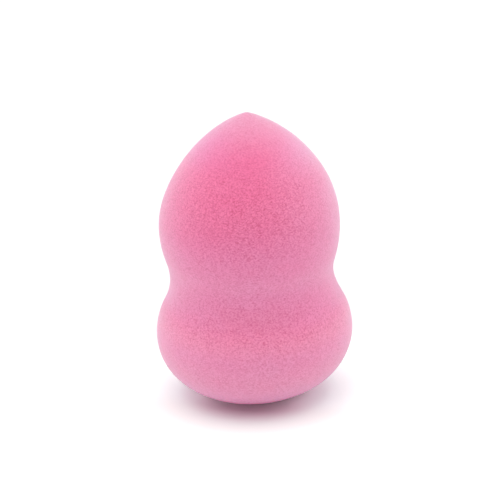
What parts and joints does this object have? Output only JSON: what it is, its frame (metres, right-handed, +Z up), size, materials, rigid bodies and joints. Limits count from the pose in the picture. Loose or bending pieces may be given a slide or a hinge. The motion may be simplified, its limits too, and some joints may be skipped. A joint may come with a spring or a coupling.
{
  "type": "makeup sponge",
  "caption": "Gourd-shaped foam makeup sponge with a wide rounded bulb below, a shallow waist and a smaller bulb with a blunt pointed tip, for blending cosmetics.",
  "frame": {"origin": "centre of the flat foot, on the surface that the sponge stands on", "axes": "+Z up the sponge's axis from the foot to the tip; +Y away from the picture's camera and +X to its right"},
  "size_m": [0.04, 0.04, 0.0604],
  "materials": {
    "foam": "matte"
  },
  "bodies": {
    "root": {"foam_body": "foam"}
  },
  "joints": []
}
